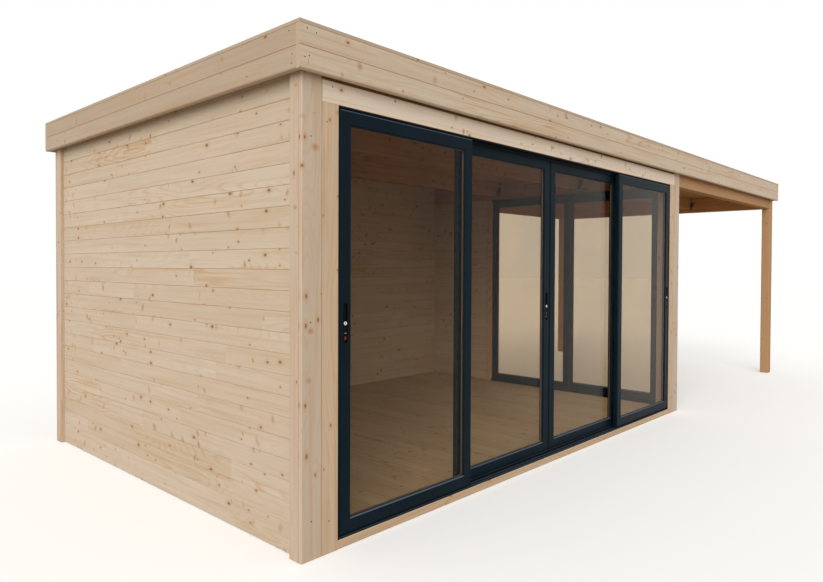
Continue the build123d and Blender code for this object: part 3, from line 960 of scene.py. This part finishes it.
@dataclass
class Fixings:
    """Nail heads in the roof edge, the posts, the door surround and the hangers.

    Nails are given as (inset from the end of a face, height above its foot).

    Attributes:
        radius: Radius of a nail head.
        proud: How far a head stands out.
        sides: Corners of a head's outline.
        dome: Rings of a head, as shares of its radius and of how far it stands out.
        fascia, end_fascia, lintel, jamb, post: Nails of the long and the short roof edge, the lintel, the
            jambs and the front posts.
        purlin_width: Width of a purlin.
        ear_steel: Thickness of a hanger's ear.
        ear_reach: From the middle of a purlin to the middle of an ear.
        ear_levels: Heights of an ear's nails above the hanger's foot.
    """

    radius: float = 0.0038
    proud: float = 0.0002
    sides: int = 10
    dome: Profile = ((1.0, -0.5), (1.0, 0.3), (0.6, 1.0))
    fascia: Profile = ((0.043, 0.189), (0.098, 0.18), (0.031, 0.055), (0.055, 0.065))
    end_fascia: Profile = ((0.053, 0.185), (0.03, 0.074), (0.034, 0.03))
    lintel: Profile = ((0.065, 0.082),)
    jamb: Profile = ((0.029, 2.123), (0.047, 0.161))
    post: Profile = ((0.055, 2.039), (0.055, 1.15), (0.06, 0.19))
    purlin_width: float = 0.06
    ear_steel: float = 0.0025
    ear_reach: float = 0.0465
    ear_levels: tuple[float, ...] = (0.056, 0.074, 0.092)

    def heads(self, surface: Surface, places: np.ndarray, normal: Axis, outward: int) -> None:
        """Add low domed heads. Each ring is a circle about the nail, drawn in and raised as the dome says.

        Args:
            surface: The mesh that they join.
            places: Points on the face, as an array of heads by 3.
            normal, outward: Direction and sign in which the heads face.
        """
        turn = np.linspace(0, 2 * math.pi, self.sides, endpoint=False)
        share, height = np.array(self.dome).T[:, :, None, None]
        circle = np.insert(np.stack([np.cos(turn), np.sin(turn)], 1), normal.value, 0.0, 1)
        lift = np.eye(3)[normal.value] * outward * self.proud
        for place in places:
            surface.sweep(place + circle * self.radius * share + lift * height)

    def timber_nails(self) -> None:
        """Drive the same nails, mirrored, at both ends of upright faces: -1 is a low side, 1 a high one."""
        wood = Surface()
        for run, normal, ways, nails, *nodes in (
            (Axis.X, Axis.Y, (-1, 1), self.fascia, "long_fascias"),
            (Axis.Y, Axis.X, (-1, 1), self.end_fascia, "end_fascias"),
            (Axis.X, Axis.Y, (-1,), self.lintel, "front_lintel"),
            (Axis.X, Axis.Y, (-1,), self.jamb, "front_jambs"),
            (Axis.X, Axis.Y, (-1,), self.post, "front_left_post", "front_right_post"),
        ):
            low, high = box = box_of(*nodes)
            for outward, (inset, rise) in product(ways, nails):
                places = np.tile(low, (2, 1))
                places[:, run.value] = low[run.value] + inset, high[run.value] - inset
                places[:, normal.value] = box[max(outward, 0), normal.value]
                places[:, Axis.Z.value] += rise
                self.heads(wood, places, normal, outward)
        wood.piece("nail_heads", NAIL, slot="hanger_steel")

    def hanger_nails(self) -> None:
        """Drive the nails through each ear of the hangers."""
        steel = Surface()
        house, canopy = box_of("house_purlins"), box_of("canopy_purlins")
        foot = box_of("joist_hangers")[0, Axis.Z.value]
        middles = house[:, Axis.Y.value] + [self.purlin_width / 2, -self.purlin_width / 2]
        columns = (middles[:, None] + [-self.ear_reach, self.ear_reach]).ravel()
        across, up = np.meshgrid(columns, [foot + level for level in self.ear_levels])
        for face, outward in ((house[0], 1), (house[1], -1), (canopy[0], 1), (canopy[1], -1)):
            ear = np.full(across.size, face[Axis.X.value] + outward * self.ear_steel)
            self.heads(steel, np.stack([ear, across.ravel(), up.ravel()], 1), Axis.X, outward)
        steel.piece("hanger_nails", ZINC, slot="hanger_steel")

    def build(self) -> None:
        """Drive all nails in."""
        self.timber_nails()
        self.hanger_nails()


@dataclass(frozen=True)
class Pad:
    """A rounded pad, cup or disc let into the face of a leaf.

    Attributes:
        drop: How far its middle lies below the lock.
        half: Half its width and height.
        radius: Radius of its corners.
        levels: Inset from its outline and depth below the face, ring by ring.
    """

    drop: float
    half: Span
    radius: float
    levels: Profile


LEAST_RADIUS = 0.0002
LINING_LEVELS = ((0.0002, 0.0088), (0.0002, 0.0), (-0.0014, -0.0001), (-0.0012, -0.0007))
LINING_LEVELS += ((0.0004, -0.0007), (0.001, 0.0003), (0.0014, 0.008))
LINING = Pad(0.0, (0.014, 0.101), 0.014, LINING_LEVELS)
BLOCK = Pad(0.039, (0.0124, 0.051), 0.008, ((0.0, 0.0085), (0.0, 0.0016), (0.0006, 0.001)))
LATCH = Pad(0.05, (0.007, 0.0009), 0.0008, ((0.0, 0.002), (0.0, 0.0004), (0.0005, 0.0)))
ROSE_LEVELS = ((0.0, 0.008), (0.0, 0.0003), (0.0006, -0.0002), (0.0022, -0.0002), (0.0028, 0.0006))
ROSE = Pad(0.0, (0.0102, 0.0102), 0.0102, ROSE_LEVELS)
PLUG = Pad(0.0, (0.006, 0.006), 0.006, ((0.0, 0.004), (0.0, 0.0002), (0.0004, -0.0001)))
KEYHOLE = Pad(0.0, (0.0016, 0.0046), 0.0014, ((0.0, 0.002), (0.0, -0.0002), (0.0001, -0.0003)))
WINDOW = Pad(0.075, (0.0048, 0.0075), 0.002, ((0.0, 0.002), (0.0, 0.0006), (0.0008, 0.0)))


@dataclass
class LeafFittings:
    """Gaskets, spacer bar, mitre lines and pull of one sliding leaf.

    Attributes:
        leaf: The leaf's node and body.
        glass: Its pane's node.
        run: Direction along the door.
        normal: Direction through the door.
        outdoors: Sign of the outdoor side along the normal.
        pull_side: 1 for a pull in the stile further along, -1 for the nearer one, 0 for none.
        rebate: How far the pane reaches into the frame.
        stile: Width of the frame.
        bevel: Bevel from the frame's face down to the glass.
        edge: Bevel along the leaf's outer edges.
        line: Width of a mitre line.
        lock_height: Height of the lock above the ground.
        bead: Section of a gasket, as (reach over the glass, height above it).
        spacer_sink: From the glass face to the spacer bar.
        spacer_reach: From where to where the spacer bar reaches over the clear glass.
    """

    leaf: str
    glass: str
    run: Axis
    normal: Axis
    outdoors: int
    pull_side: int
    rebate: float = 0.012
    stile: float = 0.076
    bevel: float = 0.005
    edge: float = 0.008
    line: float = 0.0012
    lock_height: float = 1.132
    bead: Profile = ((-0.001, 0.0), (0.004, 0.0), (0.0038, 0.0006), (0.0026, 0.0012), (-0.001, 0.0014))
    spacer_sink: float = 0.008
    spacer_reach: Span = (-0.007, 0.0065)

    def points(self, along: np.ndarray, through: np.ndarray, up: np.ndarray) -> np.ndarray:
        """Turn places in the door into points of the frame.

        Args:
            along, through, up: Places along the door, through it and up.

        Returns:
            An array with the points in its last axis.
        """
        made = np.empty((*np.broadcast_shapes(np.shape(along), np.shape(through), np.shape(up)), 3))
        for axis, values in ((self.run, along), (self.normal, through), (Axis.Z, up)):
            made[..., axis.value] = values
        return made

    def faces(self) -> list[tuple[float, float, int]]:
        """The leaf's face, its glass face and the outward sign of each side."""
        leaf, glass = (box_of(node)[:, self.normal.value] for node in (self.leaf, self.glass))
        return [(leaf[0], glass[0], -1), (leaf[1], glass[1], 1)]

    def beads(self) -> None:
        """Run a rubber gasket round both faces of the pane, and a metal bar between its two sheets."""
        axes = (self.run, Axis.Z, self.normal)
        opening = box_of(self.glass) + [[self.rebate], [-self.rebate]]
        rubber, bar = Surface(), Surface()
        for _, face, outward in self.faces():
            rubber.surround(axes, opening, [(reach, face + outward * rise) for reach, rise in self.bead])
        rubber.piece(f"{self.leaf}_gaskets", RUBBER, self.leaf, "anthracite_aluminium")
        (_, front, _), (_, back, _) = self.faces()
        near, far = self.spacer_reach
        front, back = front + self.spacer_sink, back - self.spacer_sink
        bar.surround(axes, opening, [(near, front), (far, front), (far, back), (near, back)])
        bar.piece(f"{self.leaf}_spacer", SPACER, self.leaf, "anthracite_aluminium")

    def mitres(self) -> None:
        """Draw the hairline joint at each corner of the leaf.

        A thin four-sided section runs diagonally in from the corner: down the outer bevel, over the face and
        down the inner bevel to the glass.
        """
        box = box_of(self.leaf)
        surface = Surface()
        insets = np.array([[0.0], [self.edge], [self.stile - self.bevel], [self.stile]])
        sinks = np.array([[self.edge], [0.0], [0.0], [self.bevel]])
        width, height = np.array([(1, -1, -1, 1), (1, 1, -1, -1)]) * [[self.line / 2], [self.line / 3]]
        for face, _, outward in self.faces():
            for end, level in product((0, 1), (0, 1)):
                sign, lift = 1 - 2 * end, 1 - 2 * level
                along = box[end, self.run.value] + sign * insets - lift * width
                up = box[level, Axis.Z.value] + lift * insets + width
                surface.sweep(self.points(along, face + outward * (height - sinks), up))
        surface.piece(f"{self.leaf}_mitres", RUBBER, self.leaf, "anthracite_aluminium")

    def set_pad(self, surface: Surface, pad: Pad, face: float, outward: int) -> None:
        """Let a pad into a face: each ring is its rounded outline, drawn in and sunk as its level says.

        Args:
            surface: The mesh that it joins.
            pad: The pad.
            face: The leaf's face.
            outward: The face's outward sign.
        """
        end = box_of(self.leaf)[max(self.pull_side, 0), self.run.value]
        middle, height = end - self.pull_side * self.stile / 2, self.lock_height - pad.drop
        rings = []
        for inset, depth in pad.levels:
            half = np.array(pad.half) - inset
            outline = rounded_outline(*half, max(pad.radius - inset, LEAST_RADIUS))
            rings.append(self.points(middle + outline[:, 0], face - outward * depth, height + outline[:, 1]))
        surface.sweep(np.array(rings))

    def pull(self) -> None:
        """Fit the lined pull with its latch, and outdoors a lock cylinder and an indicator."""
        black, bright, red = Surface(), Surface(), Surface()
        for face, _, outward in self.faces():
            pads = [(black, LINING), (black, BLOCK), (bright, LATCH)]
            if outward == self.outdoors:
                pads += [(bright, ROSE), (bright, PLUG), (black, KEYHOLE), (red, WINDOW)]
            for surface, pad in pads:
                self.set_pad(surface, pad, face, outward)
        black.piece(f"{self.leaf}_pull_lining", PLASTIC, self.leaf, "anthracite_aluminium")
        bright.piece(f"{self.leaf}_lock_cylinder", SATIN_STEEL, self.leaf, "hanger_steel")
        red.piece(f"{self.leaf}_lock_indicator", SIGNAL_RED, self.leaf, "anthracite_aluminium")

    def build(self) -> None:
        """Fit everything to the leaf."""
        self.beads()
        self.mitres()
        if self.pull_side:
            self.pull()


@dataclass
class SlidingDoor:
    """One sliding door: frame profiles, leaves and panes.

    Attributes:
        prefix: Start of its nodes' names.
        run, normal: Directions along and through it.
        outdoors: Sign of the outdoor side along the normal.
        pulls: For each leaf, which stile has the pull.
    """

    prefix: str
    run: Axis
    normal: Axis
    outdoors: int
    pulls: tuple[int, ...]

    def build(self) -> None:
        """Dress the profiles and fit the leaves."""
        dress([f"{self.prefix}_door_tracks", f"{self.prefix}_door_sides"], TRACK)
        for number, pull_side in enumerate(self.pulls, start=1):
            leaf, glass = f"{self.prefix}_leaf_{number}", f"{self.prefix}_glass_{number}"
            dress([leaf], ALUMINIUM)
            dress([glass], Glazing())
            LeafFittings(leaf, glass, self.run, self.normal, self.outdoors, pull_side).build()


@dataclass
class RoofSheet:
    """Lapped seams of the roof sheet and its turned-up edge against the kerbs.

    Attributes:
        sheet_width: From seam to seam.
        lap: Section of a seam, as (place across it, height).
        edge_height, edge_thickness: Height and thickness of the turned-up edge.
        cove: Radius of the bend at its foot.
        foot: Thickness of the sheet where the bend ends.
        toe: Reach and thickness of the strip that lies flat.
    """

    sheet_width: float = 1.05
    lap: Profile = ((-0.04, 0.0), (0.04, 0.0), (0.036, 0.0016), (0.022, 0.0016), (-0.036, 0.0016))
    edge_height: float = 0.072
    edge_thickness: float = 0.003
    cove: float = 0.02
    foot: float = 0.001
    toe: Span = (0.09, 0.0014)

    def build(self) -> None:
        """Lay the seams and the edge."""
        low, high = box = box_of("roof_membrane")
        laps = Surface()
        section = np.insert(np.array(self.lap), 2, 0.0, 1) + [low[0], high[2], 0.0]
        for number in range(1, math.ceil((high[0] - low[0] - self.lap[1][0]) / self.sheet_width)):
            place = section + [number * self.sheet_width, 0.0, 0.0]
            laps.carry((Axis.Y, Axis.X, Axis.Z), (low[1], high[1]), place)
        laps.piece("roof_sheet_laps", ROOF_SHEET, slot="roof_sheet")

        edge = Surface()
        bend = np.linspace(math.pi / 2, 0, 5)
        cove = self.cove * np.stack([1 - np.sin(bend), 1 - np.cos(bend)], 1)
        cove += [self.edge_thickness, self.foot]
        outline = [(0.0, 0.0), (0.0, self.edge_height), (self.edge_thickness, self.edge_height)]
        outline += [*cove.tolist(), self.toe, (self.toe[0], 0.0)]
        edge.surround((Axis.X, Axis.Y, Axis.Z), box, np.array(outline) + [0.0, high[2]])
        edge.piece("roof_sheet_upstand", ROOF_SHEET, slot="roof_sheet")


@dataclass
class Camera:
    """The camera at the photograph's viewing angle.

    Attributes:
        place: Where it stands.
        yaw, pitch, roll: Degrees from +Y towards +X, up, and about the line of sight.
        focal: Focal length in pixels of the image.
        width: Width of the image in pixels.
        centre: How far the line of sight meets the image right of and below its middle, in pixels.
        reach: How far it sees.
    """

    place: Point = (-5.8999, -4.0712, 1.4212)
    yaw: float = 46.774
    pitch: float = -0.987
    roll: float = 0.232
    focal: float = 654.05
    width: int = 823
    centre: Span = (-5.48, -13.56)
    reach: float = 500.0

    def build(self) -> None:
        """Set the scene's camera up."""
        yaw, pitch, roll = (math.radians(angle) for angle in (self.yaw, self.pitch, self.roll))
        ahead = Vector((math.sin(yaw) * math.cos(pitch), math.cos(yaw) * math.cos(pitch), math.sin(pitch)))
        level = Vector((math.cos(yaw), -math.sin(yaw), 0))
        over = level.cross(ahead)
        right = level * math.cos(roll) + over * math.sin(roll)
        up = over * math.cos(roll) - level * math.sin(roll)
        data = bpy.data.cameras.new("camera")
        data.sensor_fit = "HORIZONTAL"
        data.lens = self.focal / self.width * data.sensor_width
        data.shift_x = -self.centre[0] / self.width
        data.shift_y = self.centre[1] / self.width
        data.clip_end = self.reach
        made = bpy.data.objects.new("camera", data)
        turn = Matrix((right, up, -ahead)).transposed()
        made.matrix_world = Matrix.Translation(self.place) @ turn.to_4x4()
        bpy.context.scene.collection.objects.link(made)
        bpy.context.scene.camera = made


@dataclass(frozen=True)
class FloorPaint(Finish):
    """Matt pale floor that fades into the white round it and keeps the building's shadow.

    Attributes:
        pale, cloud: Its colour, and what it turns to in faint clouds.
        glow: Share of white that it shows on its own.
        bounce: Colour of the light that it sends back.
    """

    name: str = "studio_floor"
    pale: Colour = (0.8, 0.8, 0.79)
    cloud: Colour = (0.82, 0.82, 0.81)
    glow: float = 0.3
    bounce: Colour = (0.48, 0.42, 0.34)

    def shade(self, sheet: NodeSheet) -> dict[str, object]:
        """Pale to the eye, and a softer colour to the building.

        Args:
            sheet: The material's sheet.

        Returns:
            Values for the Principled shader's inputs.
        """
        place = sheet.place("ShaderNodeTexCoord").outputs["Object"]
        pale = sheet.mix(sheet.noise(place, 0.4), self.pale, self.cloud)
        seen = sheet.seen()
        return {
            "Base Color": sheet.mix(seen, self.bounce, pale),
            "Roughness": 0.9,
            "Specular IOR Level": 0.0,
            "Emission Color": WHITE,
            "Emission Strength": seen * self.glow,
        }


@dataclass
class Studio:
    """Plain pale floor, white surroundings and soft daylight.

    Attributes:
        sky, sky_colour: Strength and colour of the light from all round.
        sun, sun_colour: Strength and colour of the soft main light.
        sun_from: Direction that the main light comes from.
        sun_spread: How wide the main light is, in degrees.
        radius: Radius of the floor.
        sides: Corners of the floor.
        drop: How far the floor lies below the building's foot.
    """

    sky: float = 0.66
    sky_colour: Colour = (1.0, 0.99, 0.97)
    sun: float = 1.82
    sun_colour: Colour = (1.0, 0.98, 0.94)
    sun_from: Point = (-0.77, -0.49, 0.42)
    sun_spread: float = 50.0
    radius: float = 80.0
    sides: int = 64
    drop: float = 0.001

    def world(self) -> None:
        """Light the scene from all round and show white behind it."""
        world = bpy.data.worlds.new("studio")
        bpy.context.scene.world = world
        world.use_nodes = True
        sheet = NodeSheet(world.node_tree)
        light = sheet.place("ShaderNodeBackground", {"Color": self.sky_colour, "Strength": self.sky})
        backdrop = sheet.place("ShaderNodeBackground", {"Color": WHITE, "Strength": 1.0})
        both = {0: sheet.seen(), 1: light.outputs[0], 2: backdrop.outputs[0]}
        sheet.place("ShaderNodeOutputWorld", {"Surface": sheet.out("ShaderNodeMixShader", both)})

    def lamp(self) -> None:
        """Hang the wide, soft main light."""
        data = bpy.data.lights.new("main_light", "SUN")
        data.energy = self.sun
        data.angle = math.radians(self.sun_spread)
        data.color = self.sun_colour
        made = bpy.data.objects.new("main_light", data)
        made.rotation_mode = "QUATERNION"
        made.rotation_quaternion = Vector(self.sun_from).to_track_quat("Z", "Y")
        bpy.context.scene.collection.objects.link(made)

    def floor(self) -> None:
        """Lay a pale disc, its points evenly round a circle."""
        turn = np.linspace(0, 2 * math.pi, self.sides, endpoint=False)
        rim = [self.radius * np.cos(turn), self.radius * np.sin(turn), np.full(self.sides, -self.drop)]
        mesh = bpy.data.meshes.new("floor")
        mesh.from_pydata(np.stack(rim, 1).tolist(), [], [list(range(self.sides))])
        mesh.materials.append(FloorPaint().material())
        made = bpy.data.objects.new("floor", mesh)
        bpy.context.scene.collection.objects.link(made)

    def build(self) -> None:
        """Set up the floor, the lights and the view settings."""
        self.world()
        self.lamp()
        self.floor()
        bpy.context.scene.view_settings.view_transform = "Standard"


def main() -> None:
    """Build the studio and every sub-assembly."""
    logging.basicConfig(level=logging.INFO, format="%(message)s")
    for assembly in (
        Camera(),
        Studio(),
        TimberFrame(),
        Cladding(),
        RoofSheet(),
        SlidingDoor("front", Axis.X, Axis.Y, -1, (-1, 1, 0, 1)),
        SlidingDoor("side", Axis.Y, Axis.X, 1, (-1, 1)),
        Fixings(),
    ):
        log.info("Building %s", type(assembly).__name__)
        assembly.build()


if __name__ == "__main__":
    main()
